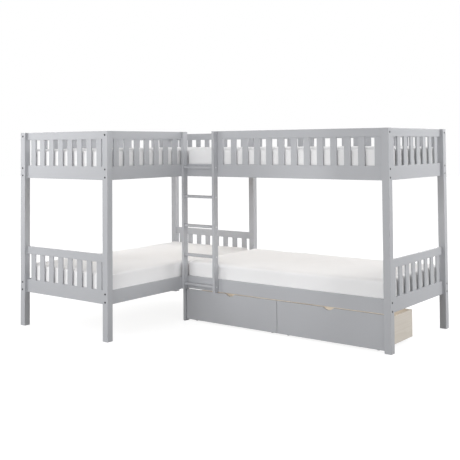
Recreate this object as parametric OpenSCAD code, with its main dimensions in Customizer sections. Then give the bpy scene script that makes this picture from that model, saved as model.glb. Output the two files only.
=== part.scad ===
// L-shaped bunk bed: two bunk arms that share a corner, an upright ladder in
// the inner corner and two rolling drawers under the right arm.
//
// X runs along the right arm, Y runs back along the through arm, Z is up.
// Pieces are laid out from the front outer corner of the through arm, at the
// floor, and centred() then moves them so that the origin is the middle of the
// floor rectangle that the bed covers.

/* [Overall size] */
// Length of the through arm, along Y
arm_len = 2026; // [1690:1:2440]
// Width of either arm, across its posts
arm_wid = 1073; // [890:1:1290]
// Span of both arms, along X
span = 3029; // [2520:1:3640]
// Height of the posts
bed_h = 1657; // [1380:1:1990]

/* [Posts and rails] */
// Side of the square posts
post = 57; // [47:0.1:70]
// Radius eased onto the long edges of the posts
post_ease = 3; // [1:0.5:6]
// Radius eased onto the edges of rails, slats and uprights
arris = 2; // [0.5:0.25:3]
// Thickness of every rail
rail_t = 22; // [18:0.1:27]
// Height of the wide rails
rail_h = 108; // [95:1:130]
// Height of the narrow rails on top of a guard or an end panel
top_rail_h = 64; // [50:1:80]
// Underside of the lower wide rails
lower_rail_z = 285; // [237:1:342]
// Open height of the slats in the guards and the upper end panels
guard_open_h = 219; // [180:1:264]
// Open height of the slats in the lower end panels
panel_open_h = 220; // [180:1:264]
// How far an end panel stands back from the outer face of its posts
panel_setback = 28; // [22:1:32]
// Thickness of the short leg under the inner corner
leg_t = 22; // [18:1:22]

/* [Guard slats] */
// Width of a guard slat
slat_w = 57; // [45:0.1:70]
// Thickness of a guard slat
slat_t = 12; // [9:1:14]
// Spacing of the slats in the end panels
end_slat_pitch = 116; // [95:1:140]
// Spacing of the slats in the long guards
long_slat_pitch = 118.6; // [95:0.2:143]
// Spacing of the slats in the guard beside the ladder
front_slat_pitch = 121; // [95:1:145]
// Least space between an end slat and the post or stile beside it
end_space = 30; // [15:1:36]
// Width of the stiles that close the guard beside the ladder
stile_w = 66; // [50:1:80]
// How far a stile's shoulder stands out on each side of its tenon
stile_shoulder = 10; // [6:1:14]
// Length of the tenons that enter the rails
tenon = 10; // [6:1:14]
// Play of a tenon or a board in its slot
slot_play = 0.2; // [0.1:0.05:0.5]
// Space between the end of a tenon and the bottom of its slot
slot_relief = 0.5; // [0.2:0.1:1]

/* [Ladder] */
// Thickness of a ladder upright
upright_t = 22; // [18:1:27]
// Depth of a ladder upright
upright_d = 57; // [50:1:70]
// Clear width between the uprights
ladder_clear = 317; // [264:1:381]
// Number of rungs
rungs = 5; // [4:1:6]
// Middle of the lowest rung above the underside of the lower rail
low_rung_rise = 44; // [30:1:60]
// Middle of the highest rung above the underside of the upper rail
high_rung_rise = 79; // [40:1:85]
// Thickness of a rung
rung_t = 22; // [18:1:27]
// Depth of a rung
rung_d = 44; // [36:1:48]
// Radius on the front edge of a rung
rung_nose = 6; // [2:1:8]
// Depth of the housing that takes a rung's end
rung_housing = 6; // [4:1:8]
// How far a rung's back edge stands in front of the rail's face
rung_back = 1.5; // [0.5:0.25:3]
// Play at each end of a rung in its housing
rung_end_play = 0.2; // [0.1:0.05:0.5]
// Length of the bolt in a rung's end
rung_bolt_l = 60; // [45:1:70]
// How far the screws that fix an upright enter it
fixing_bite = 13; // [10:1:14]
// Distance of those screws from the upright's front edge
fixing_edge = 12; // [10:1:18]
// Distance of those screws below their rail's top
fixing_drop = 30; // [22:1:40]

/* [Sleeping platforms] */
// Number of slats on each platform
bed_slats = 14; // [10:1:17]
// Width of a platform slat
bed_slat_w = 64; // [50:1:78]
// Thickness of a platform slat
bed_slat_t = 15; // [12:1:19]
// Thickness of the ledges that carry the platform slats
ledge_t = 22; // [18:1:27]
// Height of those ledges
ledge_h = 30; // [25:1:35]
// Height of a ledge's underside above its rail's underside
ledge_rise = 5; // [2:1:8]
// Space between the end of a rail and the end of its ledge
ledge_inset = 60; // [50:1:80]
// Space at each end of a platform slat
bed_slat_play = 2; // [1:0.5:4]

/* [Mattresses] */
// Height of a mattress at its top piping
mattress_h = 190; // [158:1:228]
// Rise of the mattress's middle above its top piping
crown = 10; // [4:1:18]
// How far the side panel is drawn in between the pipings
draw_in = 5; // [2:1:9]
// How far a mattress's sides bow in along their length
side_bow = 3; // [1:0.5:5]
// Distance over which the top climbs from its piping to its full rise
crown_run = 320; // [250:5:400]
// Radius of a mattress's corners
mattress_r = 55; // [35:1:70]
// Radius of the piped edges
piping = 9; // [5:1:12]
// Space between a mattress and the rails beside it
mattress_side = 9.5; // [4:0.5:15]
// Space between a mattress and the posts at its ends
mattress_end = 11; // [4:0.5:20]
// Space between a right mattress and the posts of the right end
mattress_right_end = 2; // [1:0.5:4]
// Space between a right mattress and the post at the corner
mattress_corner_end = 7; // [4:0.5:15]
// Space between a mattress and the slats under it
soft_gap = 0.3; // [0.2:0.1:1]

/* [Drawers] */
// Space under a drawer front
front_z = 16; // [12:1:20]
// Space between a drawer front and the rail above it
front_gap = 8; // [4:1:14]
// Thickness of a drawer front
front_t = 18; // [15:1:22]
// Depth of the drawer box behind its front
box_d = 480; // [400:1:576]
// How far the box stops below the top of its front
box_drop = 40; // [30:1:50]
// Space under the boards of the box
box_z = 26; // [22:1:30]
// Thickness of the box boards
board_t = 12; // [10:1:15]
// Thickness of the drawer bottom
bottom_t = 6; // [4:1:8]
// Depth of the groove that holds the drawer bottom
groove = 5; // [3:1:6]
// Play of the drawer bottom's edge in that groove
bottom_play = 0.5; // [0.2:0.1:1]
// How far the front overhangs the box at each side
front_lap = 8; // [4:1:15]
// Width of the finger scoop
scoop_w = 92; // [70:1:120]
// Depth of the finger scoop
scoop_h = 20; // [12:1:28]
// Space between the two drawers
drawer_gap = 4; // [3:1:8]
// Space between the right drawer and its post
post_gap = 6; // [3:1:10]
// Space between the left drawer and the short leg
leg_gap = 5.5; // [3:0.5:12]

/* [Casters] */
// Radius of a caster wheel
wheel_r = 18; // [15:0.1:22]
// Width of a caster wheel
wheel_w = 20; // [16:1:24]
// Space beside a caster wheel
wheel_space = 1; // [0.5:0.25:1.5]
// Space above a caster wheel, under its plate
wheel_headroom = 2; // [1:0.5:4]
// Radius of a caster's axle
axle_r = 2.5; // [2:0.25:3]
// Radial running clearance of a wheel on its axle
run_play = 0.05; // [0.03:0.01:0.1]
// Distance from a drawer's end to the middle of its caster
caster_inset = 75; // [60:1:120]
// Space between a caster and the nearest board of the box
caster_space = 2; // [1:0.5:6]
// Thickness of the caster's plate and cheeks
plate_t = 2; // [1.5:0.25:2.5]
// How far a caster's plate reaches beyond its cheeks' inner faces
plate_lip = 10; // [8:1:14]
// Wall of a cheek around its axle
cheek_wall = 6; // [4:0.5:8]
// Width of the bevel at the edges of a wheel's tread
tread_bevel = 3; // [1:0.5:4]
// How far an axle's riveted head stands out around it
rivet_lip = 1.5; // [1:0.25:2.5]
// Thickness of an axle's riveted head
rivet_t = 1.2; // [1:0.1:2]

/* [Fasteners] */
// Radius of a bolt's shank
bolt_r = 3.2; // [2.5:0.1:3.8]
// Radius of a frame bolt's head
head_r = 7.5; // [6:0.5:8.5]
// Radius of a ladder bolt's head
small_head_r = 5.5; // [4.5:0.5:6]
// Thickness of a bolt's head
head_t = 4; // [3:0.5:5]
// Depth of the sink that takes a bolt's head
sink_d = 5; // [4.5:0.5:7]
// Space around a frame bolt's head in its sink
sink_space = 1; // [0.5:0.25:1.5]
// Wood left between a frame bolt's sink and the ledge below it
sink_margin = 2; // [1:0.5:4]
// Space around a ladder bolt's head in its sink
small_sink_space = 0.5; // [0.25:0.25:1]
// Radius of the hexagonal socket in a bolt's head, to its corners
socket_r = 2.9; // [2.3:0.1:3.5]
// Distance of a bolt from the nearest edge of its wide rail
bolt_edge = 22; // [17:1:24]
// Length of a frame bolt beyond the piece that its head sits in
grip = 45; // [40:1:55]
// Depth of a bolt hole beyond its bolt
bolt_tail = 4; // [2:0.5:4.5]
// Radius of a barrel nut
nut_r = 5; // [4.5:0.25:6]
// Length of a barrel nut
nut_l = 15; // [12:1:17]
// Distance from a rail's end to its barrel nut
nut_inset = 32; // [25:1:34]
// Radius of a dowel
dowel_r = 5; // [4:0.5:5.5]
// Length of a dowel on each side of its joint
dowel_half = 21; // [15:1:22]
// Least wood between a dowel's end and the bolt that crosses its post
dowel_margin = 4; // [3:0.5:6]
// Depth of a dowel hole beyond its dowel, at each end
dowel_tail = 1; // [0.5:0.25:2]
// Radial play of a bolt, nut or dowel in its hole
hole_play = 0.3; // [0.1:0.05:0.5]

/* [Hidden] */

PAINT = [0.66, 0.67, 0.69];
RAW_WOOD = [0.84, 0.76, 0.64];
PINE = [0.86, 0.77, 0.60];
TICKING = [0.95, 0.94, 0.93];
STEEL = [0.75, 0.75, 0.77];
BLACK = [0.08, 0.08, 0.09];

// Levels
upper_rail_z = bed_h - top_rail_h - guard_open_h - rail_h;
rail_zs = [lower_rail_z, upper_rail_z];
lower_panel_top = lower_rail_z + rail_h + panel_open_h + top_rail_h;
top_rail_zs = [lower_panel_top - top_rail_h, bed_h - top_rail_h];
guard_z = upper_rail_z + rail_h;
guard_rail_z = bed_h - top_rail_h;
ledge_top = ledge_rise + ledge_h;
platform = ledge_top + bed_slat_t;

// Planes: the side rails are centred on their posts
arm_y = arm_len - arm_wid;
side_setback = (post - rail_t) / 2;
outer_back = side_setback + rail_t;
inner_face = arm_wid - side_setback;
inner_back = inner_face - rail_t;
front_face = arm_y + side_setback;
front_back = front_face + rail_t;
back_inside = arm_len - side_setback - rail_t;
panel_mid = panel_setback + rail_t / 2;

// ---- shapes --------------------------------------------------------------

module centred() {
    translate([-span / 2, -arm_len / 2, 0]) children();
}

// Turns local +Z to a named direction
module facing(dir) {
    turn = dir == "+x" ? [0, 90, 0] : dir == "-x" ? [0, -90, 0]
         : dir == "+y" ? [-90, 0, 0] : [90, 0, 0];
    rotate(turn) children();
}

// A panel's own frame: X along the panel, Y through its thickness
module along_x(x, y) translate([x, y, 0]) children();
module along_y(x, y) translate([x, y, 0]) mirror([1, -1, 0]) children();

module eased_rect(w, h, ease) {
    translate([ease, 0]) square([w - 2 * ease, h]);
    translate([0, ease]) square([w, h - 2 * ease]);
    for (x = [ease, w - ease], y = [ease, h - ease]) translate([x, y]) circle(r = ease, $fn = 32);
}

// Bars with eased long edges, drawn from their low corner
module bar_x(length, w, h) {
    rotate([90, 0, 90]) linear_extrude(length) eased_rect(w, h, arris);
}
module bar_y(length, w, h) {
    mirror([1, -1, 0]) bar_x(length, w, h);
}
module bar_z(length, w, h) {
    linear_extrude(length) eased_rect(w, h, arris);
}

// ---- bolts, barrel nuts and dowels ----------------------------------------
// A bolt is [start point, direction, thickness of the piece under its head,
// direction in which its nut hole opens].

function wide_zs(offsets) = [for (z = rail_zs, o = offsets) z + o];
bolt_zs = concat(wide_zs([bolt_edge, rail_h - bolt_edge]), [guard_rail_z + top_rail_h / 2]);
wide_bolt_zs = wide_zs([bolt_edge, rail_h - bolt_edge]);
sink_r = head_r + sink_space;
// Through the inner rails the heads have to stay clear of the ledges
corner_bolt_zs = wide_zs([ledge_top + sink_r + sink_margin, rail_h - bolt_edge]);

function bolt_row(x, y, zs, dir, t, nut_dir) = [for (z = zs) [[x, y, z], dir, t, nut_dir]];
bolts = concat(
    bolt_row(post / 2, 0, bolt_zs, "+y", post, "+x"),
    bolt_row(post / 2, arm_len, bolt_zs, "-y", post, "+x"),
    bolt_row(arm_wid - post / 2, 0, bolt_zs, "+y", post, "-x"),
    bolt_row(arm_wid - post / 2, arm_len, wide_bolt_zs, "-y", post, "-x"),
    bolt_row(span, arm_y + post / 2, bolt_zs, "-x", post, "+y"),
    bolt_row(span, arm_len - post / 2, bolt_zs, "-x", post, "-y"),
    bolt_row(inner_back, arm_y + post / 2, corner_bolt_zs, "+x", rail_t, "+y"));

function bolt_dir(b) = b[1] == "+x" ? [1, 0, 0] : b[1] == "-x" ? [-1, 0, 0]
                     : b[1] == "+y" ? [0, 1, 0] : [0, -1, 0];
function bolt_end(b) = b[0] + (b[2] + grip + bolt_tail + 1) * bolt_dir(b);

// Cap bolt with a socket in its head, sunk below the face it starts from
module cap_bolt(head, length) {
    difference() {
        translate([0, 0, sink_d - head_t]) cylinder(r = head, h = head_t, $fn = 48);
        translate([0, 0, sink_d - head_t - 1]) cylinder(r = socket_r, h = head_t - 0.5, $fn = 6);
    }
    translate([0, 0, sink_d]) cylinder(r = bolt_r, h = length - sink_d, $fn = 32);
}
module cap_bolt_hole(sink, length) {
    translate([0, 0, -1]) cylinder(r = sink, h = sink_d + 1, $fn = 48);
    translate([0, 0, 1]) cylinder(r = bolt_r + hole_play, h = length, $fn = 32);
}

// Turns local +Z across the bolt, the way its nut hole opens
module across(b) {
    side = b[3] == "+x" || b[3] == "+y" ? 1 : -1;
    if (b[1] == "+x" || b[1] == "-x") rotate([-90 * side, 0, 0]) children();
    else rotate([0, 90 * side, 0]) children();
}
module at_nut(b) {
    translate(b[0]) facing(b[1]) translate([0, 0, b[2] + nut_inset]) children();
}
module bolt_hole(b) {
    translate(b[0]) facing(b[1]) cap_bolt_hole(sink_r, b[2] + grip + bolt_tail);
    at_nut(b) across(b) translate([0, 0, -nut_l / 2 - hole_play])
        cylinder(r = nut_r + hole_play, h = nut_l / 2 + rail_t, $fn = 32);
}
module barrel_nut(b) {
    at_nut(b) difference() {
        across(b) translate([0, 0, -nut_l / 2]) cylinder(r = nut_r, h = nut_l, $fn = 32);
        translate([0, 0, -nut_r - 1]) cylinder(r = bolt_r + hole_play / 2, h = 2 * nut_r + 2, $fn = 32);
    }
}

// A dowel is [point on the joint, axis]. It stops short of the bolt that
// crosses its post.
dowel_reach = min(dowel_half, post / 2 - bolt_r - hole_play - dowel_margin);
wide_dowel_zs = wide_zs([rail_h / 4, 3 * rail_h / 4]);
top_dowel_zs = [for (z = top_rail_zs) each [z + top_rail_h / 4, z + 3 * top_rail_h / 4]];
guard_dowel_zs = [guard_rail_z + top_rail_h / 4, guard_rail_z + 3 * top_rail_h / 4];
dowel_sites = concat(
    [for (z = concat(wide_dowel_zs, top_dowel_zs), x = [post, arm_wid - post],
          y = [panel_mid, arm_len - panel_mid]) [[x, y, z], "x"]],
    [for (z = concat(wide_dowel_zs, top_dowel_zs), y = [arm_y + post, arm_len - post])
        [[span - panel_mid, y, z], "y"]],
    [for (z = concat(wide_dowel_zs, guard_dowel_zs)) [[arm_wid, arm_len - post / 2, z], "x"]],
    [for (y = [arm_y + post / 4, arm_y + 3 * post / 4])
        [[inner_face - leg_t / 2, y, lower_rail_z], "z"]]);

module dowel(site, r, half) {
    turn = site[1] == "x" ? [0, 90, 0] : site[1] == "y" ? [90, 0, 0] : [0, 0, 0];
    translate(site[0]) rotate(turn) translate([0, 0, -half]) cylinder(r = r, h = 2 * half, $fn = 32);
}

// Whether the box from low to high meets the span from a to b, with a margin
function boxed(a, b, low, high, margin) =
    min([for (i = [0:2])
        max(a[i], b[i]) > low[i] - margin && min(a[i], b[i]) < high[i] + margin ? 1 : 0]) == 1;

// Takes the bolt holes and dowel holes that reach it out of a piece
module drilled(low, high) {
    difference() {
        children();
        for (b = bolts) if (boxed(b[0], bolt_end(b), low, high, 1)) bolt_hole(b);
        for (d = dowel_sites) if (boxed(d[0], d[0], low, high, dowel_reach))
            dowel(d, dowel_r + hole_play / 2, dowel_reach + dowel_tail);
    }
}

module frame_bolts() color(STEEL) centred()
    for (b = bolts) translate(b[0]) facing(b[1]) cap_bolt(head_r, b[2] + grip);
module barrel_nuts() color(STEEL) centred() for (b = bolts) barrel_nut(b);
module dowels() color(PINE) centred() for (d = dowel_sites) dowel(d, dowel_r, dowel_reach);

// ---- posts -----------------------------------------------------------------

module post_at(x, y) color(PAINT) centred()
    drilled([x, y, 0], [x + post, y + post, bed_h])
        translate([x, y, 0]) linear_extrude(bed_h) eased_rect(post, post, post_ease);

module post_front_outer() post_at(0, 0);
module post_front_inner() post_at(arm_wid - post, 0);
module post_back_outer() post_at(0, arm_len - post);
module post_back_inner() post_at(arm_wid - post, arm_len - post);
module post_right_front() post_at(span - post, arm_y);
module post_right_back() post_at(span - post, arm_len - post);

// Short leg under the through arm's inner rail, where the right arm joins it
module corner_leg() color(PAINT) centred() {
    low = [inner_face - leg_t, arm_y, 0];
    drilled(low, low + [leg_t, post, lower_rail_z])
        translate(low) bar_z(lower_rail_z, leg_t, post);
}

// ---- slats and the rails that hold them --------------------------------------

// Left edges of the slats, spaced at a pitch and centred in a clear width
function slat_starts(clear, pitch) =
    let (n = floor((clear - slat_w - 2 * end_space) / pitch) + 1,
         first = (clear - slat_w - (n - 1) * pitch) / 2)
    [for (i = [0:n - 1]) first + i * pitch];

module slats(starts, z0, z1) {
    for (s = starts)
        translate([s, (rail_t - slat_t) / 2, z0 - tenon])
            bar_z(z1 - z0 + 2 * tenon, slat_w, slat_t);
}
module slot(start, w, z) {
    translate([start - slot_play, (rail_t - slat_t) / 2 - slot_play, z - tenon - slot_relief])
        cube([w + 2 * slot_play, slat_t + 2 * slot_play, 2 * (tenon + slot_relief)]);
}
// Rail with its underside at z, and slots for slats in the edge at slot_z
module slotted_rail(length, z, h, starts, slot_z) {
    difference() {
        translate([0, 0, z]) bar_x(length, rail_t, h);
        for (s = starts) slot(s, slat_w, slot_z);
    }
}

// ---- end panels ----------------------------------------------------------------

end_clear = arm_wid - 2 * post;
end_starts = slat_starts(end_clear, end_slat_pitch);

module end_top_rails() {
    for (z = top_rail_zs) slotted_rail(end_clear, z, top_rail_h, end_starts, z);
}
module end_wide_rails() {
    for (z = rail_zs) slotted_rail(end_clear, z, rail_h, end_starts, z + rail_h);
}
module end_slats() {
    for (i = [0, 1]) slats(end_starts, rail_zs[i] + rail_h, top_rail_zs[i]);
}

module at_front_end() color(PAINT) centred() {
    low = [post, panel_setback, 0];
    drilled(low, low + [end_clear, rail_t, bed_h]) along_x(low[0], low[1]) children();
}
module at_back_end() color(PAINT) centred() {
    low = [post, arm_len - panel_setback - rail_t, 0];
    drilled(low, low + [end_clear, rail_t, bed_h]) along_x(low[0], low[1]) children();
}
module at_right_end() color(PAINT) centred() {
    low = [span - panel_setback - rail_t, arm_y + post, 0];
    drilled(low, low + [rail_t, end_clear, bed_h]) along_y(low[0], low[1]) children();
}

module front_end_top_rails() at_front_end() end_top_rails();
module front_end_wide_rails() at_front_end() end_wide_rails();
module front_end_slats() at_front_end() end_slats();
module back_end_top_rails() at_back_end() end_top_rails();
module back_end_wide_rails() at_back_end() end_wide_rails();
module back_end_slats() at_back_end() end_slats();
module right_end_top_rails() at_right_end() end_top_rails();
module right_end_wide_rails() at_right_end() end_wide_rails();
module right_end_slats() at_right_end() end_slats();

// ---- side rails and guards --------------------------------------------------------

module side_rails(length, starts) {
    slotted_rail(length, upper_rail_z, rail_h, starts, guard_z);
    translate([0, 0, lower_rail_z]) bar_x(length, rail_t, rail_h);
}
module guard_rail(length, starts) {
    slotted_rail(length, guard_rail_z, top_rail_h, starts, guard_rail_z);
}
module guard_slats(starts) slats(starts, guard_z, guard_rail_z);

long_clear = arm_len - 2 * post;
long_starts = slat_starts(long_clear, long_slat_pitch);
// The inner guard stops behind the ladder, where the right arm joins
inner_clear = front_back - post;
inner_starts = [for (s = long_starts) if (s + slat_w < inner_clear - 5) s];
back_clear = span - post - arm_wid;
back_starts = slat_starts(back_clear, long_slat_pitch);

module at_outer_side() color(PAINT) centred() {
    low = [side_setback, post, 0];
    drilled(low, low + [rail_t, long_clear, bed_h]) along_y(low[0], low[1]) children();
}
module at_inner_side() color(PAINT) centred() {
    low = [inner_back, post, 0];
    drilled(low, low + [rail_t, long_clear, bed_h]) along_y(low[0], low[1]) children();
}
module at_right_back() color(PAINT) centred() {
    low = [arm_wid, back_inside, 0];
    drilled(low, low + [back_clear, rail_t, bed_h]) along_x(low[0], low[1]) children();
}
module at_right_front() color(PAINT) centred() {
    low = [inner_face, front_face, 0];
    drilled(low, [span - post, front_back, bed_h]) along_x(low[0], low[1]) children();
}

module outer_side_rails() at_outer_side() side_rails(long_clear, long_starts);
module outer_guard_rail() at_outer_side() guard_rail(long_clear, long_starts);
module outer_guard_slats() at_outer_side() guard_slats(long_starts);

module inner_side_rails() difference() {
    at_inner_side() side_rails(long_clear, inner_starts);
    ladder_side_holes();
}
module inner_guard_rail() at_inner_side() guard_rail(inner_clear, inner_starts);
module inner_guard_slats() at_inner_side() guard_slats(inner_starts);

module right_back_side_rails() at_right_back() side_rails(back_clear, back_starts);
module right_back_guard_rail() at_right_back() guard_rail(back_clear, back_starts);
module right_back_guard_slats() at_right_back() guard_slats(back_starts);

// The right arm's front rails butt against the through arm's inner rails. The
// guard on them starts at the ladder, with a stile at each end.
front_rail_len = span - post - inner_face;
guard_start = upright_t + ladder_clear + upright_t / 2;
guard_len = front_rail_len - guard_start;
stile_starts = [guard_start, front_rail_len - stile_w];
stile_tenon_w = stile_w - 2 * stile_shoulder;
front_starts = [for (s = slat_starts(guard_len - 2 * stile_w, front_slat_pitch))
    guard_start + stile_w + s];

module stile_slots(z) {
    for (s = stile_starts) slot(s + stile_shoulder, stile_tenon_w, z);
}
module right_front_side_rails() difference() {
    at_right_front() difference() {
        side_rails(front_rail_len, front_starts);
        stile_slots(guard_z);
    }
    ladder_front_holes();
}
module right_front_guard_rail() at_right_front() difference() {
    translate([guard_start, 0, guard_rail_z]) bar_x(guard_len, rail_t, top_rail_h);
    for (s = front_starts) slot(s, slat_w, guard_rail_z);
    stile_slots(guard_rail_z);
}
module right_front_guard_stiles() at_right_front()
    for (s = stile_starts) {
        translate([s, 0, guard_z]) bar_z(guard_rail_z - guard_z, stile_w, rail_t);
        translate([s + stile_shoulder, (rail_t - slat_t) / 2, guard_z - tenon])
            cube([stile_tenon_w, slat_t, guard_rail_z - guard_z + 2 * tenon]);
    }
module right_front_guard_slats() at_right_front() guard_slats(front_starts);

// ---- sleeping platforms --------------------------------------------------------------

left_ledge_len = long_clear - 2 * ledge_inset;
right_ledge_x = arm_wid + ledge_inset;
right_ledge_len = back_clear - 2 * ledge_inset;

module slat_ledges() color(PINE) centred()
    for (z = rail_zs) {
        for (x = [outer_back, inner_back - ledge_t])
            translate([x, post + ledge_inset, z + ledge_rise]) bar_y(left_ledge_len, ledge_t, ledge_h);
        for (y = [front_back, back_inside - ledge_t])
            translate([right_ledge_x, y, z + ledge_rise]) bar_x(right_ledge_len, ledge_t, ledge_h);
    }

function spread(length) = [for (i = [0:bed_slats - 1]) i * (length - bed_slat_w) / (bed_slats - 1)];

module left_bed_slats(z) color(PINE) centred()
    for (s = spread(left_ledge_len))
        translate([outer_back + bed_slat_play, post + ledge_inset + s, z + ledge_top])
            bar_x(inner_back - outer_back - 2 * bed_slat_play, bed_slat_w, bed_slat_t);
module right_bed_slats(z) color(PINE) centred()
    for (s = spread(right_ledge_len))
        translate([right_ledge_x + s, front_back + bed_slat_play, z + ledge_top])
            bar_y(back_inside - front_back - 2 * bed_slat_play, bed_slat_w, bed_slat_t);
module bed_slats_left_upper() left_bed_slats(upper_rail_z);
module bed_slats_left_lower() left_bed_slats(lower_rail_z);
module bed_slats_right_upper() right_bed_slats(upper_rail_z);
module bed_slats_right_lower() right_bed_slats(lower_rail_z);

// ---- mattresses -------------------------------------------------------------------------
// A mattress is a stack of rings on a rounded rectangle. Each ring is
// [inset from the full outline, height]. The top rings climb the crown.

ring_pts = 64;
side_rings = [[piping, 0], [0.3 * piping, 0.3 * piping], [0, piping], [draw_in / 2, 2 * piping],
    [draw_in, 0.32 * mattress_h], [draw_in + 1, 0.5 * mattress_h], [draw_in, 0.68 * mattress_h],
    [draw_in / 2, mattress_h - 2 * piping], [0, mattress_h - piping],
    [0.3 * piping, mattress_h - 0.3 * piping], [piping, mattress_h]];
function crown_z(inset) = mattress_h + crown * sin(90 * min(1, (inset - piping) / crown_run));
mattress_rings = concat(side_rings, [for (i = [26, 60, 120, 210, 330]) [i, crown_z(i)]]);

// Point k of a ring: each quarter is a corner arc and then a side, and the
// side is drawn in a little along its length
function ring_point(k, l, w, inset, z) =
    let (per = ring_pts / 4, corner = floor(k / per), step = k % per,
         arc = min(1, 2 * step / per), run = max(0, 2 * step / per - 1),
         hx = l / 2 - inset, hy = w / 2 - inset, r = max(25, mattress_r - 0.2 * inset),
         cx = [hx - r, r - hx, r - hx, hx - r], cy = [hy - r, hy - r, r - hy, r - hy],
         a = 90 * corner + 90 * arc, out = [cos(90 * corner + 90), sin(90 * corner + 90)],
         next = (corner + 1) % 4,
         here = [cx[corner] + r * cos(a), cy[corner] + r * sin(a)],
         shift = run == 0 ? [0, 0] : run * [cx[next] - cx[corner], cy[next] - cy[corner]],
         p = here + shift - side_bow * sin(180 * run) * out)
    [p[0], p[1], z];

function ring_faces(rings) = concat(
    [for (j = [0:rings - 2], k = [0:ring_pts - 1])
        let (n = (k + 1) % ring_pts, a = j * ring_pts + k, b = j * ring_pts + n,
             c = (j + 1) * ring_pts + n, d = (j + 1) * ring_pts + k)
            each [[a, d, c], [a, c, b]]],
    [for (k = [1:ring_pts - 2]) [0, k, k + 1]],
    [for (k = [0:ring_pts - 1])
        [rings * ring_pts, (rings - 1) * ring_pts + (k + 1) % ring_pts, (rings - 1) * ring_pts + k]]);

module mattress(l, w) {
    points = concat(
        [for (q = mattress_rings, k = [0:ring_pts - 1]) ring_point(k, l, w, q[0], q[1])],
        [[0, 0, mattress_h + crown]]);
    polyhedron(points = points, faces = ring_faces(len(mattress_rings)), convexity = 4);
}

mattress_w = inner_back - outer_back - 2 * mattress_side;
left_mattress_l = long_clear - 2 * mattress_end;
right_mattress_l = back_clear - mattress_right_end - mattress_corner_end;

module left_mattress(z) color(TICKING) centred()
    translate([arm_wid / 2, arm_len / 2, z + platform + soft_gap])
        rotate([0, 0, 90]) mattress(left_mattress_l, mattress_w);
module right_mattress(z) color(TICKING) centred()
    translate([span - post - mattress_right_end - right_mattress_l / 2,
               arm_len - arm_wid / 2, z + platform + soft_gap])
        mattress(right_mattress_l, mattress_w);
module mattress_left_upper() left_mattress(upper_rail_z);
module mattress_left_lower() left_mattress(lower_rail_z);
module mattress_right_upper() right_mattress(upper_rail_z);
module mattress_right_lower() right_mattress(lower_rail_z);

// ---- ladder --------------------------------------------------------------------------------

upright_y = front_face - upright_d;
upright_xs = [inner_face, inner_face + upright_t + ladder_clear];
low_rung_z = lower_rail_z + low_rung_rise;
rung_pitch = (upper_rail_z + high_rung_rise - low_rung_z) / (rungs - 1);
rung_zs = [for (i = [0:rungs - 1]) low_rung_z + i * rung_pitch];
rung_y = front_face - rung_back - rung_d;
// Screws that fix an upright stop before a rung's housing
fixing_l = rail_t + fixing_bite;
fixing_zs = wide_zs([rail_h - fixing_drop]);

// Cross-section of a rung with a rounded front, grown by a play all round
module rung_section(play) {
    translate([rung_nose, -play]) square([rung_d - rung_nose + play, rung_t + 2 * play]);
    translate([-play, rung_nose]) square([rung_d + play, rung_t - 2 * rung_nose]);
    for (z = [rung_nose, rung_t - rung_nose])
        translate([rung_nose, z]) circle(r = rung_nose + play, $fn = 40);
}
module rung(z, end_play, play) {
    translate([upright_xs[0] + upright_t - rung_housing + end_play, rung_y, z - rung_t / 2])
        rotate([90, 0, 90])
            linear_extrude(ladder_clear + 2 * rung_housing - 2 * end_play) rung_section(play);
}

module at_rung_bolts() centred()
    for (z = rung_zs) {
        translate([upright_xs[0], rung_y + rung_d / 2, z]) facing("+x") children();
        translate([upright_xs[1] + upright_t, rung_y + rung_d / 2, z]) facing("-x") children();
    }
module at_side_fixings() centred()
    for (z = fixing_zs) translate([inner_back, upright_y + fixing_edge, z]) facing("+x") children();
module at_front_fixings() centred()
    for (z = fixing_zs)
        translate([upright_xs[1] + upright_t / 2, front_back, z]) facing("-y") children();

small_sink_r = small_head_r + small_sink_space;
module ladder_side_holes() at_side_fixings() cap_bolt_hole(small_sink_r, fixing_l);
module ladder_front_holes() at_front_fixings() cap_bolt_hole(small_sink_r, fixing_l);
module rung_bolt_holes() at_rung_bolts() cap_bolt_hole(small_sink_r, rung_bolt_l);

module ladder_uprights() color(PAINT) difference() {
    centred() for (x = upright_xs)
        translate([x, upright_y, lower_rail_z]) bar_z(bed_h - lower_rail_z, upright_t, upright_d);
    centred() for (z = rung_zs) rung(z, 0, slot_play);
    rung_bolt_holes();
    ladder_side_holes();
    ladder_front_holes();
}
module ladder_rungs() color(PAINT) difference() {
    centred() for (z = rung_zs) rung(z, rung_end_play, 0);
    rung_bolt_holes();
}
module ladder_bolts() color(STEEL) {
    at_rung_bolts() cap_bolt(small_head_r, rung_bolt_l);
    at_side_fixings() cap_bolt(small_head_r, fixing_l);
    at_front_fixings() cap_bolt(small_head_r, fixing_l);
}

// ---- drawers ---------------------------------------------------------------------------------
// A drawer is laid out from the left end of its front, with Y = 0 at the face.

drawer_x0 = inner_face + leg_gap;
drawer_w = (span - post - post_gap - drawer_gap - drawer_x0) / 2;
front_top = lower_rail_z - front_gap;
box_top = front_top - box_drop;
bottom_z = 2 * wheel_r + wheel_headroom + plate_t;
scoop_r = (scoop_w * scoop_w / 4 + scoop_h * scoop_h) / (2 * scoop_h);
side_xs = [front_lap, drawer_w - front_lap - board_t];

module at_left_drawer() centred() translate([drawer_x0, front_face, 0]) children();
module at_right_drawer() centred()
    translate([drawer_x0 + drawer_w + drawer_gap, front_face, 0]) children();

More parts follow.
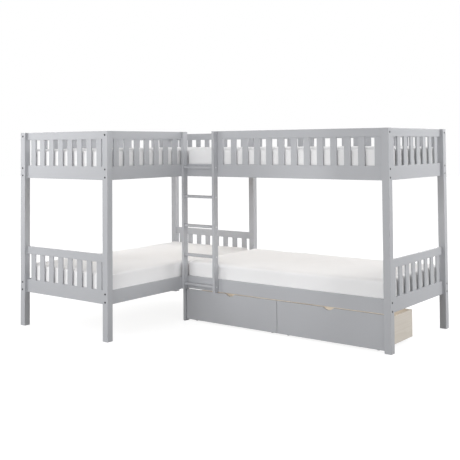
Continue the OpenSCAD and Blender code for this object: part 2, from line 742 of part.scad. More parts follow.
module drawer_front() color(PAINT) difference() {
    translate([0, 0, front_z]) bar_x(drawer_w, front_t, front_top - front_z);
    translate([drawer_w / 2, -1, front_top - scoop_h + scoop_r]) rotate([-90, 0, 0])
        cylinder(r = scoop_r, h = front_t + 2, $fn = 96);
}
module bottom_slot() {
    edge = board_t - groove;
    translate([front_lap + edge, front_t + edge, bottom_z - slot_play])
        cube([drawer_w - 2 * (front_lap + edge), box_d - 2 * edge, bottom_t + 2 * slot_play]);
}
module drawer_sides() color(RAW_WOOD) difference() {
    for (x = side_xs) translate([x, front_t, box_z]) bar_y(box_d, board_t, box_top - box_z);
    bottom_slot();
}
module drawer_cross_boards() color(RAW_WOOD) difference() {
    for (y = [front_t, front_t + box_d - board_t])
        translate([front_lap + board_t, y, box_z])
            bar_x(side_xs[1] - side_xs[0] - board_t, board_t, box_top - box_z);
    bottom_slot();
}
module drawer_bottom() color(RAW_WOOD) {
    edge = board_t - groove + bottom_play;
    translate([front_lap + edge, front_t + edge, bottom_z])
        cube([drawer_w - 2 * (front_lap + edge), box_d - 2 * edge, bottom_t]);
}

// ---- casters -------------------------------------------------------------------------------------
// Each caster is a plate with two cheeks under the drawer bottom. Its frame
// starts at the middle of the wheel.

plate_half = wheel_r + wheel_space;
fork_half = wheel_w / 2 + wheel_space;
cheek_r = axle_r + cheek_wall;
caster_xs = [caster_inset, drawer_w - caster_inset];
front_axle_y = front_t + board_t + caster_space + plate_half;
rear_axle_y = front_t + box_d - board_t - caster_space - plate_half;

module at_axles(ys) for (x = caster_xs, y = ys) translate([x, y, wheel_r]) children();

module caster_fork() difference() {
    union() {
        translate([-fork_half - plate_lip, -plate_half, bottom_z - wheel_r - plate_t])
            cube([2 * (fork_half + plate_lip), 2 * plate_half, plate_t]);
        for (x = [-fork_half - plate_t, fork_half])
            translate([x, 0, 0]) rotate([90, 0, 90]) linear_extrude(plate_t) {
                circle(r = cheek_r, $fn = 48);
                translate([-cheek_r, 0]) square([2 * cheek_r, bottom_z - wheel_r - plate_t / 2]);
            }
    }
    rotate([0, 90, 0]) cylinder(r = axle_r + run_play, h = 4 * fork_half, center = true, $fn = 32);
}
// Axle pin with a riveted head outside each cheek
module caster_axle() rotate([0, 90, 0]) {
    cylinder(r = axle_r, h = 2 * (fork_half + plate_t + rivet_t / 2), center = true, $fn = 32);
    for (x = [-fork_half - plate_t - rivet_t, fork_half + plate_t])
        translate([0, 0, x]) cylinder(r = axle_r + rivet_lip, h = rivet_t, $fn = 32);
}
module caster_wheel() rotate([0, 90, 0]) rotate_extrude($fn = 96)
    polygon([[axle_r + run_play, -wheel_w / 2], [wheel_r - tread_bevel, -wheel_w / 2],
        [wheel_r, tread_bevel - wheel_w / 2], [wheel_r, wheel_w / 2 - tread_bevel],
        [wheel_r - tread_bevel, wheel_w / 2], [axle_r + run_play, wheel_w / 2]]);

module caster_forks() color(STEEL) at_axles([front_axle_y, rear_axle_y]) caster_fork();
module caster_axles() color(STEEL) at_axles([front_axle_y, rear_axle_y]) caster_axle();
module front_wheels() color(BLACK) at_axles([front_axle_y]) caster_wheel();
module rear_wheels() color(BLACK) at_axles([rear_axle_y]) caster_wheel();

module left_drawer_front() at_left_drawer() drawer_front();
module left_drawer_sides() at_left_drawer() drawer_sides();
module left_drawer_cross_boards() at_left_drawer() drawer_cross_boards();
module left_drawer_bottom() at_left_drawer() drawer_bottom();
module left_drawer_caster_forks() at_left_drawer() caster_forks();
module left_drawer_axles() at_left_drawer() caster_axles();
module left_drawer_front_wheels() at_left_drawer() front_wheels();
module left_drawer_rear_wheels() at_left_drawer() rear_wheels();
module right_drawer_front() at_right_drawer() drawer_front();
module right_drawer_sides() at_right_drawer() drawer_sides();
module right_drawer_cross_boards() at_right_drawer() drawer_cross_boards();
module right_drawer_bottom() at_right_drawer() drawer_bottom();
module right_drawer_caster_forks() at_right_drawer() caster_forks();
module right_drawer_axles() at_right_drawer() caster_axles();
module right_drawer_front_wheels() at_right_drawer() front_wheels();
module right_drawer_rear_wheels() at_right_drawer() rear_wheels();

post_front_outer();
post_front_inner();
post_back_outer();
post_back_inner();
post_right_front();
post_right_back();
corner_leg();
front_end_top_rails();
front_end_wide_rails();
front_end_slats();
back_end_top_rails();
back_end_wide_rails();
back_end_slats();
right_end_top_rails();
right_end_wide_rails();
right_end_slats();
outer_side_rails();
outer_guard_rail();
outer_guard_slats();
inner_side_rails();
inner_guard_rail();
inner_guard_slats();
right_front_side_rails();
right_front_guard_rail();
right_front_guard_stiles();
right_front_guard_slats();
right_back_side_rails();
right_back_guard_rail();
right_back_guard_slats();
slat_ledges();
bed_slats_left_upper();
bed_slats_left_lower();
bed_slats_right_upper();
bed_slats_right_lower();
mattress_left_upper();
mattress_left_lower();
mattress_right_upper();
mattress_right_lower();
ladder_uprights();
ladder_rungs();
ladder_bolts();
left_drawer_front();
left_drawer_sides();
left_drawer_cross_boards();
left_drawer_bottom();
left_drawer_caster_forks();
left_drawer_axles();
left_drawer_front_wheels();
left_drawer_rear_wheels();
right_drawer_front();
right_drawer_sides();
right_drawer_cross_boards();
right_drawer_bottom();
right_drawer_caster_forks();
right_drawer_axles();
right_drawer_front_wheels();
right_drawer_rear_wheels();
frame_bolts();
barrel_nuts();
dowels();
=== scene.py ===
"""Dresses the L-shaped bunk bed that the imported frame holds.

The frame's painted, bare wood, metal and nylon parts keep their shape and get
their finishes here. The mattresses are replaced by swollen fitted covers, and
screws that the frame leaves out are added. Lengths are in metres, X runs along
the right arm, Y runs back and Z is up.
"""

import logging
import math
from dataclasses import dataclass, field
from enum import Enum
from functools import cache
from typing import Protocol

import bpy
import numpy as np
from mathutils import Matrix, Vector


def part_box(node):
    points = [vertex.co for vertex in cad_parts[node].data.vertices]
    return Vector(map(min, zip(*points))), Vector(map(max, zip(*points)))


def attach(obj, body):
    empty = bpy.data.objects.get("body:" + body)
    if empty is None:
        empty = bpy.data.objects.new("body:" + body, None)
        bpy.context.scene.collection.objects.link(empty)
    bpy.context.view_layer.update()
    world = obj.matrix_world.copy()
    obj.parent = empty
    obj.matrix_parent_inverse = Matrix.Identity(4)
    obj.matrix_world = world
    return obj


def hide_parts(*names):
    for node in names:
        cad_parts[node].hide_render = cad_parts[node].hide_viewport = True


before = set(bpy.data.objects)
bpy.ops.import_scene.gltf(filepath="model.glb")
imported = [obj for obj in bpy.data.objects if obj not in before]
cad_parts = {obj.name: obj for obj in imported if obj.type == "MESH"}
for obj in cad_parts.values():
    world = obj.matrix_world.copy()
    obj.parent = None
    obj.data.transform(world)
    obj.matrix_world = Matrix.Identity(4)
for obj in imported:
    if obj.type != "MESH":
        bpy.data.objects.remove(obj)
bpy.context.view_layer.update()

log = logging.getLogger("bunk_bed")

# A colour, a place or a way; a node's socket; a lattice point or block; a face
Triple = tuple[float, float, float]
Socket = bpy.types.NodeSocket
Cell = tuple[int, int, int]
Quad = tuple[int, ...]

WHITE = (1.0, 1.0, 1.0, 1.0)
# Radians that a Wave texture of scale 1 turns in a metre
WAVE_RATE = 20.0
# A length that counts as none
TINY = 1e-9


class Axis(Enum):
    """A direction of the bed, as the index of its coordinate."""

    X = 0
    Y = 1
    Z = 2

    def spread(self, along: float, across: float) -> Triple:
        """Three scales, with one value along this axis and another across it."""
        return tuple(along if i == self.value else across for i in range(3))


# ---- node trees ----


class NodeBench:
    """Adds nodes to one tree and wires them."""

    def __init__(self, tree: bpy.types.NodeTree) -> None:
        """Keeps the shader or geometry tree that the nodes go into."""
        self.tree = tree

    def add(self, kind: str, inputs: dict | None = None, **settings: object) -> bpy.types.Node:
        """Adds a node.

        Args:
            kind: The node's type name.
            inputs: Socket index or name to a plain value or an output socket.
            **settings: Attributes set on the node before its sockets.

        Returns:
            The new node.
        """
        node = self.tree.nodes.new(kind)
        for name, value in settings.items():
            setattr(node, name, value)
        for key, value in (inputs or {}).items():
            if isinstance(value, Socket):
                self.tree.links.new(value, node.inputs[key])
            else:
                node.inputs[key].default_value = value
        return node

    def math(self, operation: str, *values: object, clamp: bool = False) -> Socket:
        """Adds a Math node on numbers or sockets; clamp holds its result in 0 to 1."""
        settings = {"operation": operation, "use_clamp": clamp}
        return self.add("ShaderNodeMath", dict(enumerate(values)), **settings).outputs[0]


class ShaderBench(NodeBench):
    """Builds one material around a Principled shader."""

    def __init__(self, name: str) -> None:
        """Makes the empty material.

        Args:
            name: The material's name.
        """
        self.made = bpy.data.materials.new(name)
        self.made.use_nodes = True
        super().__init__(self.made.node_tree)
        self.tree.nodes.clear()
        self.place = self.add("ShaderNodeTexCoord").outputs["Object"]

    def scaled(self, scale: Triple, vector: Socket | None = None) -> Socket:
        """Gives the object coordinates, or a vector, scaled by a Mapping node."""
        inputs = {"Vector": vector or self.place, "Scale": scale}
        return self.add("ShaderNodeMapping", inputs).outputs[0]

    def noise(
        self, vector: Socket, scale: float = 1.0, detail: float = 2.0, rough: float = 0.5
    ) -> Socket:
        """Adds a noise of so many lumps a metre, with finer octaves; it gives 0 to 1."""
        inputs = {"Vector": vector, "Scale": scale, "Detail": detail, "Roughness": rough}
        return self.add("ShaderNodeTexNoise", inputs).outputs[0]

    def ranged(
        self, value: Socket, low: float, high: float, start: float = 0.0, end: float = 1.0
    ) -> Socket:
        """Maps a value from start..end to low..high, held inside that range."""
        inputs = {0: value, 1: start, 2: end, 3: low, 4: high}
        return self.add("ShaderNodeMapRange", inputs).outputs[0]

    def blend(
        self, factor: object, first: object, second: object, kind: str = "MIX"
    ) -> Socket:
        """Mixes two colours, plain or linked; the factor is the second one's share."""
        inputs = {0: factor, 6: first, 7: second}
        return self.add("ShaderNodeMix", inputs, data_type="RGBA", blend_type=kind).outputs[2]

    def bump(
        self, height: Socket, strength: float, depth: float, under: Socket | None = None
    ) -> Socket:
        """Bends the normal by a height pattern of a real depth, laid over another bend."""
        inputs = {"Height": height, "Strength": strength, "Distance": depth}
        return self.add("ShaderNodeBump", inputs | ({"Normal": under} if under else {})).outputs[0]

    def finish(self, inputs: dict) -> bpy.types.Material:
        """Closes the material with its Principled shader.

        Args:
            inputs: The shader's socket values, plain or linked.

        Returns:
            The material.
        """
        shader = self.add("ShaderNodeBsdfPrincipled", inputs)
        self.add("ShaderNodeOutputMaterial", {"Surface": shader.outputs[0]})
        return self.made


def opaque(colour: Triple, tone: float = 1.0) -> tuple[float, float, float, float]:
    """Gives an RGB colour, times a tone, with its alpha."""
    return (colour[0] * tone, colour[1] * tone, colour[2] * tone, 1.0)


# ---- finishes ----


class Finish(Protocol):
    """A surface finish that can be made into a material."""

    def material(self) -> bpy.types.Material:
        """Builds the material."""


@dataclass(frozen=True)
class SatinPaint:
    """Cool light grey satin paint, rolled over solid wood.

    The wood's grain shows through faintly along one axis, and the roller
    leaves a fine stipple.
    """

    axis: Axis
    colour: Triple = (0.475, 0.483, 0.505)
    tone_swing: float = 0.022
    cloud_scale: float = 2.3
    grain_stretch: tuple[float, float] = (1.4, 34.0)
    grain_scale: float = 5.0
    grain_share: float = 0.35
    grain_depth: float = 0.00035
    stipple_scale: float = 620.0
    stipple_depth: float = 0.00012
    rub_scale: float = 9.0
    roughness: float = 0.48

    def material(self) -> bpy.types.Material:
        """Builds the paint.

        Returns:
            The material.
        """
        bench = ShaderBench(f"satin_paint_{self.axis.name.lower()}")
        swing = self.tone_swing
        grain_place = bench.scaled(self.axis.spread(*self.grain_stretch))
        grain = bench.noise(grain_place, self.grain_scale, detail=5.0, rough=0.62)
        cloud = bench.noise(bench.place, self.cloud_scale, detail=3.0)
        stipple = bench.noise(bench.place, self.stipple_scale)
        shade = bench.math("ADD", bench.ranged(cloud, -swing, swing), 1.0)
        fine = bench.ranged(grain, -self.grain_share * swing, self.grain_share * swing)
        tone = bench.math("ADD", fine, shade)
        colour = bench.blend(1.0, opaque(self.colour), tone, "MULTIPLY")
        rub = bench.noise(bench.place, self.rub_scale, detail=4.0)
        sheen = bench.ranged(rub, self.roughness - 0.05, self.roughness + 0.07)
        normal = bench.bump(grain, strength=0.35, depth=self.grain_depth)
        normal = bench.bump(stipple, strength=0.3, depth=self.stipple_depth, under=normal)
        return bench.finish(
            {
                "Base Color": colour,
                "Roughness": sheen,
                "Specular IOR Level": 0.35,
                "Normal": normal,
            }
        )


@dataclass(frozen=True)
class Boards:
    """How the boards of a node repeat, so that each can differ."""

    axis: Axis
    start: float
    pitch: float


@dataclass(frozen=True)
class BareWood:
    """Planed softwood without a coat, with grain along one axis."""

    name: str
    axis: Axis
    pale: Triple
    dark: Triple
    boards: Boards | None = None
    board_shift: float = 7.0
    board_tones: tuple[float, float] = (0.88, 1.06)
    warp_stretch: tuple[float, float] = (1.2, 5.0)
    warp_share: float = 0.4
    ring_stretch: tuple[float, float] = (0.35, 26.0)
    ring_count: float = 5.0
    late_power: float = 2.2
    late_share: float = 0.55
    fibre_stretch: tuple[float, float] = (9.0, 420.0)
    fibre_share: float = 0.35
    fibre_depth: float = 0.0003
    roughness: float = 0.68

    def material(self) -> bpy.types.Material:
        """Builds the wood.

        Returns:
            The material.
        """
        bench = ShaderBench(f"{self.name}_{self.axis.name.lower()}")
        place, board = self._board(bench) if self.boards else (bench.place, None)
        warp = bench.noise(bench.scaled(self.axis.spread(*self.warp_stretch), place))
        ring_place = bench.scaled(self.axis.spread(*self.ring_stretch), place)
        rings = bench.noise(ring_place, detail=1.5, rough=0.4)
        bent = bench.math("ADD", rings, bench.math("MULTIPLY", warp, self.warp_share))
        bands = bench.math("FRACT", bench.math("MULTIPLY", bent, self.ring_count))
        late = bench.math("POWER", bands, self.late_power)
        fibre_place = bench.scaled(self.axis.spread(*self.fibre_stretch), place)
        fibre = bench.noise(fibre_place, detail=3.0, rough=0.6)
        dark_late = bench.math("MULTIPLY", late, self.late_share)
        dark_fibre = bench.math("MULTIPLY", fibre, self.fibre_share)
        mix = bench.math("ADD", dark_late, dark_fibre, clamp=True)
        colour = bench.blend(mix, opaque(self.pale), opaque(self.dark))
        if board is not None:
            tone = bench.ranged(board, *self.board_tones)
            colour = bench.blend(1.0, colour, tone, "MULTIPLY")
        normal = bench.bump(fibre, strength=0.4, depth=self.fibre_depth)
        rough = bench.ranged(late, self.roughness, self.roughness - 0.14)
        return bench.finish({"Base Color": colour, "Roughness": rough, "Normal": normal})

    def _board(self, bench: ShaderBench) -> tuple[Socket, Socket]:
        """Gives each board its own part of the pattern.

        Args:
            bench: The material's bench.

        Returns:
            The shifted place, and a number from 0 to 1 drawn for each board.
        """
        parts = bench.add("ShaderNodeSeparateXYZ", {0: bench.place}).outputs
        count = bench.math("SUBTRACT", parts[self.boards.axis.value], self.boards.start)
        count = bench.math("FLOOR", bench.math("DIVIDE", count, self.boards.pitch))
        draw = bench.add("ShaderNodeTexWhiteNoise", {"W": count}, noise_dimensions="1D").outputs
        steps = {0: draw["Color"], 1: (self.board_shift,) * 3}
        shift = bench.add("ShaderNodeVectorMath", steps, operation="MULTIPLY").outputs[0]
        sums = {0: bench.place, 1: shift}
        place = bench.add("ShaderNodeVectorMath", sums, operation="ADD").outputs[0]
        return place, draw["Value"]


@dataclass(frozen=True)
class Ticking:
    """Plain white fitted cover of fine woven cotton."""

    colour: Triple = (0.93, 0.925, 0.93)
    cloud_scale: float = 3.1
    slub_scale: float = 160.0
    slub_depth: float = 0.0006
    thread_pitch: float = 0.0024
    thread_depth: float = 0.0004
    scatter: float = 0.02

    def material(self) -> bpy.types.Material:
        """Builds the cloth.

        Returns:
            The material.
        """
        bench = ShaderBench("white_ticking")
        slub = bench.noise(bench.place, self.slub_scale)
        cloud = bench.noise(bench.place, self.cloud_scale, detail=3.0)
        turn = 2.0 * math.pi / WAVE_RATE / self.thread_pitch
        threads = None
        for direction in "XYZ":
            inputs = {"Vector": bench.place, "Scale": turn}
            wave = bench.add("ShaderNodeTexWave", inputs, bands_direction=direction)
            band = wave.outputs["Fac"]
            threads = band if threads is None else bench.math("ADD", threads, band)
        weave = bench.math("MULTIPLY", threads, 0.33)
        cloudy, uneven = bench.ranged(cloud, 0.975, 1.01), bench.ranged(slub, -0.012, 0.012)
        tone = bench.math("ADD", cloudy, uneven)
        tone = bench.math("ADD", tone, bench.ranged(weave, -0.015, 0.01))
        colour = bench.blend(1.0, opaque(self.colour), tone, "MULTIPLY")
        normal = bench.bump(slub, strength=0.35, depth=self.slub_depth)
        normal = bench.bump(weave, strength=0.3, depth=self.thread_depth, under=normal)
        return bench.finish(
            {
                "Base Color": colour,
                "Roughness": 0.92,
                "Sheen Weight": 0.12,
                "Sheen Roughness": 0.6,
                "Subsurface Weight": 0.4,
                "Subsurface Radius": (1.0, 1.0, 1.0),
                "Subsurface Scale": self.scatter,
                "Specular IOR Level": 0.25,
                "Normal": normal,
            }
        )


@dataclass(frozen=True)
class PlatedSteel:
    """Steel with a thin plating, slightly mottled."""

    name: str
    colour: Triple
    roughness: float
    worn_tone: float = 0.72
    haze_scale: float = 38.0
    mottle_scale: float = 260.0
    mottle_depth: float = 0.00008

    def material(self) -> bpy.types.Material:
        """Builds the metal.

        Returns:
            The material.
        """
        bench = ShaderBench(self.name)
        mottle = bench.noise(bench.place, self.mottle_scale, detail=3.0)
        haze = bench.noise(bench.place, self.haze_scale)
        fresh, worn = opaque(self.colour), opaque(self.colour, self.worn_tone)
        colour = bench.blend(bench.ranged(haze, 0.0, 0.5), fresh, worn)
        rough = bench.ranged(mottle, self.roughness - 0.08, self.roughness + 0.1)
        normal = bench.bump(mottle, strength=0.2, depth=self.mottle_depth)
        return bench.finish(
            {"Base Color": colour, "Metallic": 1.0, "Roughness": rough, "Normal": normal}
        )


@dataclass(frozen=True)
class MouldedNylon:
    """Black nylon with a fine moulded texture and dust in random patches."""

    colour: Triple = (0.018, 0.018, 0.020)
    dust_colour: Triple = (0.16, 0.155, 0.15)
    dust_scale: float = 70.0
    spark_scale: float = 900.0
    spark_depth: float = 0.0001

    def material(self) -> bpy.types.Material:
        """Builds the plastic.

        Returns:
            The material.
        """
        bench = ShaderBench("black_nylon")
        spark = bench.noise(bench.place, self.spark_scale)
        dust = bench.noise(bench.place, self.dust_scale, detail=3.0)
        share = bench.ranged(dust, 0.0, 0.16, start=0.45, end=0.75)
        colour = bench.blend(share, opaque(self.colour), opaque(self.dust_colour))
        rough = bench.ranged(dust, 0.42, 0.6)
        normal = bench.bump(spark, strength=0.3, depth=self.spark_depth)
        return bench.finish({"Base Color": colour, "Roughness": rough, "Normal": normal})


PINE_PALE = (0.72, 0.61, 0.45)
PINE_DARK = (0.58, 0.44, 0.28)
RAW_PALE = (0.74, 0.69, 0.62)
RAW_DARK = (0.66, 0.60, 0.52)
ZINC = PlatedSteel("zinc_plated_steel", (0.62, 0.63, 0.65), roughness=0.34)
BRIGHT_ZINC = PlatedSteel("bright_zinc_steel", (0.90, 0.90, 0.91), roughness=0.30)
# Frame bolt heads: near black, darker than plated steel. This stands for dark bolts and also paints
# in the shade of the sunk holes they sit in.
BOLT_STEEL_PAINTED_SHADE = PlatedSteel("bolt_steel_painted_shade", (0.014, 0.014, 0.016), roughness=0.5)


class Slot(Enum):
    """Two material slot names of the record; nothing in this script uses them."""

    TICKING = "ticking"
    STEEL = "steel"


@cache
def material_of(finish: Finish) -> bpy.types.Material:
    """Gives the material of a finish, built at its first use."""
    return finish.material()


def dress_node(node: str, finish: Finish) -> None:
    """Puts a finish on every slot of a frame node.

    Args:
        node: The node's name.
        finish: Its finish.
    """
    mesh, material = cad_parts[node].data, material_of(finish)
    for i in range(len(mesh.materials)):
        mesh.materials[i] = material
    log.info("%s wears %s", node, material.name)


# ---- meshes ----


def piece_from(name: str, points: np.ndarray, faces: list, smooth: bool = True) -> bpy.types.Object:
    """Makes a mesh object at the origin.

    Args:
        name: The object's name.
        points: Its vertices, in the bed's frame.
        faces: Its faces, as vertex indices that turn outwards.
        smooth: Whether its faces shade smoothly.

    Returns:
        The object, linked to the scene.
    """
    mesh = bpy.data.meshes.new(name)
    mesh.from_pydata([tuple(p) for p in points], [], faces)
    mesh.validate()
    if smooth:
        mesh.shade_smooth()
    made = bpy.data.objects.new(name, mesh)
    bpy.context.scene.collection.objects.link(made)
    return made


def lattice_skin(cells: Cell) -> tuple[list[Cell], list[Quad]]:
    """Lists the lattice points and outward quads on the skin of a block of cells.

    Args:
        cells: Cells along X, Y and Z.

    Returns:
        The points as lattice indices, and the quads as indices of points.
    """
    index: dict[Cell, int] = {}
    quads: list[Quad] = []
    for out in range(3):
        a, b = (out + 1) % 3, (out + 2) % 3
        for u in range(cells[a]):
            for v in range(cells[b]):
                ring = [(u, v), (u + 1, v), (u + 1, v + 1), (u, v + 1)]
                for side, order in ((0, ring[::-1]), (cells[out], ring)):
                    quad = []
                    for p, q in order:
                        key = [0, 0, 0]
                        key[out], key[a], key[b] = side, p, q
                        quad.append(index.setdefault(tuple(key), len(index)))
                    quads.append(tuple(quad))
    return list(index), quads


# ---- mattresses ----


@dataclass(frozen=True)
class Folds:
    """A few soft upright folds on one side of a cover."""

    axis: Axis
    side: float
    centre: float
    width: float
    pitch: float
    depth: float


@dataclass(frozen=True)
class Press:
    """How one side of a cover swells until it stands just short of a neighbour."""

    axis: Axis
    side: float
    neighbour: str
    reach: float
    corner: float = 0.0
    clearance: float = 0.002

    def stop(self) -> float:
        """Finds how far along its axis the side may stand.

        Returns:
            The place of the neighbour's face, less the clearance.
        """
        low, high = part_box(self.neighbour)
        face = low[self.axis.value] if self.side > 0 else high[self.axis.value]
        return face - self.side * self.clearance


@dataclass(frozen=True)
class CoverCloth:
    """How a cover behaves as cloth while it swells."""

    quality: int = 6
    mass: float = 0.25
    stiffness: float = 18.0
    shear: float = 8.0
    bending: float = 0.6
    damping: float = 12.0
    growth: float = 0.012
    pressure: float = 4.0
    frames: int = 20

    def apply(self, cloth: bpy.types.ClothModifier, held: str) -> None:
        """Sets a cloth modifier up, without gravity or collision.

        Args:
            cloth: The modifier.
            held: The vertex group that stays where it is.
        """
        rules = cloth.settings
        rules.quality, rules.mass = self.quality, self.mass
        rules.tension_stiffness = rules.compression_stiffness = self.stiffness
        rules.shear_stiffness, rules.bending_stiffness = self.shear, self.bending
        rules.tension_damping = rules.compression_damping = self.damping
        rules.shrink_min = -self.growth
        rules.vertex_group_mass = held
        rules.use_pressure, rules.uniform_pressure_force = True, self.pressure
        rules.effector_weights.gravity = 0.0
        cloth.collision_settings.use_collision = False
        cloth.point_cache.frame_start, cloth.point_cache.frame_end = 1, self.frames


@dataclass
class FittedMattress:
    """A foam mattress in a plain fitted cover, swollen as cloth."""

    node: str
    seed: int
    folds: tuple[Folds, ...]
    presses: tuple[Press, ...]
    top_radius: float
    body: str = "frame"
    cloth: CoverCloth = CoverCloth()
    fill: float = 0.9
    cell: float = 0.024
    round_lines: int = 4
    plan_radius: float = 0.032
    foot_radius: float = 0.014
    inset: float = 0.004
    crown: float = 0.008
    crown_run: float = 0.32
    flank_share: int = 6
    end_draw: float = 0.003
    waist_draw: float = 0.002
    lumps: int = 14
    lump_rate: float = 9.0
    lump_height: float = 0.00045
    fold_lean: float = 1.6
    unevenness: float = 0.0004
    still_foot: float = 0.02
    held_height: float = 0.002
    swell: float = 0.007
    room_margin: float = 0.0005
    headroom: float = 0.004
    edge_band: float = 0.12
    press_depth: float = 0.06
    press_fade: float = 0.04
    corner_fade: float = 0.03
    low: Vector = field(init=False)
    high: Vector = field(init=False)

    def __post_init__(self) -> None:
        """Takes the room that the frame keeps for this mattress."""
        self.low, self.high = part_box(self.node)

    def _levels(self, start: float, end: float, first: float, last: float) -> np.ndarray:
        """Spaces lattice lines, closer where an edge is rounded.

        Args:
            start: First line.
            end: Last line.
            first: Radius at the start.
            last: Radius at the end.

        Returns:
            The lines in order.
        """
        middle = max(2, round((end - start - first - last) / self.cell))
        return np.concatenate(
            [
                np.linspace(start, start + first, self.round_lines)[:-1],
                np.linspace(start + first, end - last, middle + 1),
                np.linspace(end - last, end, self.round_lines)[1:],
            ]
        )

    def _shape(self) -> tuple[np.ndarray, list]:
        """Lays out the cover before it swells.

        Returns:
            Its points and its quads.
        """
        low = np.array(self.low) + (self.inset, self.inset, 0.0)
        high = np.array(self.high) - (self.inset, self.inset, self.crown + self.inset)
        plan, foot, top = self.plan_radius, self.foot_radius, self.top_radius
        lines = [
            self._levels(low[0], high[0], plan, plan),
            self._levels(low[1], high[1], plan, plan),
            self._levels(low[2], high[2], foot, top),
        ]
        keys, quads = lattice_skin(tuple(len(line) - 1 for line in lines))
        points = np.array([[lines[i][key[i]] for i in range(3)] for key in keys])
        inner = np.clip(points, low + (plan, plan, foot), high - (plan, plan, top))
        away = points - inner
        radius = np.where(away[:, 2:] < 0, foot, top)
        scale = np.concatenate([np.full((len(points), 2), plan), radius], axis=1)
        unit = np.tan(away / scale * math.pi / 4)
        unit /= np.linalg.norm(unit, axis=1)[:, None]
        points = inner + unit * scale
        return self._formed(points, low, high), quads

    def _formed(self, points: np.ndarray, low: np.ndarray, high: np.ndarray) -> np.ndarray:
        """Crowns the top, draws in the sides and adds the folds and lumps.

        Args:
            points: The rounded block's points.
            low: Its lowest corner.
            high: Its highest corner.

        Returns:
            The formed points.
        """
        middle, half = (low + high) / 2, (high - low) / 2
        part = (points - middle) / half
        rise = np.clip((points[:, 2] - low[2]) / (high[2] - low[2]), 0, 1)
        edge = np.minimum(*(half[axis] - abs(points[:, axis] - middle[axis]) for axis in (0, 1)))
        bulge = np.sin(np.clip(edge / self.crown_run, 0, 1) * math.pi / 2)
        points[:, 2] += self.crown * bulge * rise**3
        girth = np.sin(rise * math.pi)
        for axis in (0, 1):
            other = np.cos(part[:, 1 - axis] * math.pi / 2)
            drawn = self.end_draw * other + self.waist_draw * girth
            points[:, axis] -= np.sign(part[:, axis]) * self._flank(part[:, axis]) * drawn
        draw = np.random.default_rng(self.seed)
        for _ in range(self.lumps):
            wave = draw.normal(0, 1, 2) * self.lump_rate
            phase = draw.uniform(0, 2 * math.pi)
            points[:, 2] += self.lump_height * np.sin(points[:, :2] @ wave + phase) * rise**3
        for fold in self.folds:
            run = fold.axis.value
            along = points[:, 1 - run] - fold.centre
            near = np.exp(-((along / fold.width) ** 2)) * (np.sign(part[:, run]) == fold.side)
            wave = np.sin(2 * math.pi * along / fold.pitch + self.fold_lean * rise)
            height = fold.side * fold.depth * wave
            points[:, run] += height * near * self._flank(part[:, run]) * girth
        loose = rise[:, None] > self.still_foot
        points += draw.normal(0, self.unevenness, points.shape) * loose
        return points

    def _flank(self, part: np.ndarray) -> np.ndarray:
        """Gives 1 at both sides of the block, fading to 0 over its outermost share."""
        return np.clip(abs(part) * self.flank_share - (self.flank_share - 1), 0, 1)

    def _swollen(self, piece: bpy.types.Object) -> np.ndarray:
        """Lets the cover swell as cloth, with its underside held.

        Args:
            piece: The cover before it swells.

        Returns:
            The settled points, pressed out against the neighbours.
        """
        start = np.array([v.co for v in piece.data.vertices])
        held = piece.vertex_groups.new(name="underside")
        foot = self.low[2] + self.held_height
        held.add([i for i, p in enumerate(start) if p[2] < foot], 1.0, "REPLACE")
        cloth = piece.modifiers.new("swell", "CLOTH")
        self.cloth.apply(cloth, held.name)
        scene = bpy.context.scene
        for number in range(1, self.cloth.frames + 1):
            scene.frame_set(number)
        settled = piece.evaluated_get(bpy.context.evaluated_depsgraph_get())
        after = np.array([v.co for v in settled.data.vertices])
        piece.modifiers.remove(cloth)
        piece.vertex_groups.remove(held)
        scene.frame_set(1)
        return self._pressed_out(self._capped(start, after))

    def _capped(self, start: np.ndarray, after: np.ndarray) -> np.ndarray:
        """Caps how far each point moved and keeps it in the mattress's room.

        Args:
            start: Points before the cloth moved.
            after: Points when it settled.

        Returns:
            The points to keep.
        """
        move = after - start
        far = np.linalg.norm(move, axis=1)[:, None]
        move *= np.minimum(1.0, self.swell / np.maximum(far, TINY))
        margin = self.room_margin
        room_low = np.array(self.low) + (margin, margin, 0.0)
        room_high = np.array(self.high) + (-margin, -margin, self.headroom)
        return np.clip(start + move, room_low, room_high)

    def _pressed_out(self, points: np.ndarray) -> np.ndarray:
        """Presses the sides out towards the rails and slats beside them.

        Args:
            points: The settled points.

        Returns:
            The points with their sides moved.
        """
        middle = (np.array(self.low) + np.array(self.high)) / 2
        half = (np.array(self.high) - np.array(self.low)) / 2
        rise = np.clip((points[:, 2] - self.low[2]) / (2 * half[2]), 0, 1)
        plump = np.sqrt(np.clip(np.minimum(rise, 1 - rise) / self.edge_band, 0, 1))
        moved = points.copy()
        for press in self.presses:
            run, cross = press.axis.value, 1 - press.axis.value
            inside = half[cross] - abs(points[:, cross] - middle[cross]) - press.corner
            gap = half[run] - press.side * (points[:, run] - middle[run])
            near = np.clip((self.press_depth - gap) / self.press_fade, 0, 1)
            near = near * np.clip(inside / self.corner_fade, 0, 1)
            out = press.side * moved[:, run] + press.reach * plump * near
            moved[:, run] = press.side * np.minimum(out, press.side * press.stop())
        return moved

    def build(self) -> None:
        points, quads = self._shape()
        piece = piece_from(f"cover_{self.node}", points, quads)
        moved = self._swollen(piece)
        piece.data.vertices.foreach_set("co", moved.ravel())
        piece.data.update()
        smoother = piece.modifiers.new("smooth", "SUBSURF")
        smoother.levels = smoother.render_levels = 1
        piece.data.materials.append(material_of(Ticking()))
        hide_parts(self.node)
        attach(piece, self.body)
        log.info("%s: %d faces", piece.name, len(piece.data.polygons))


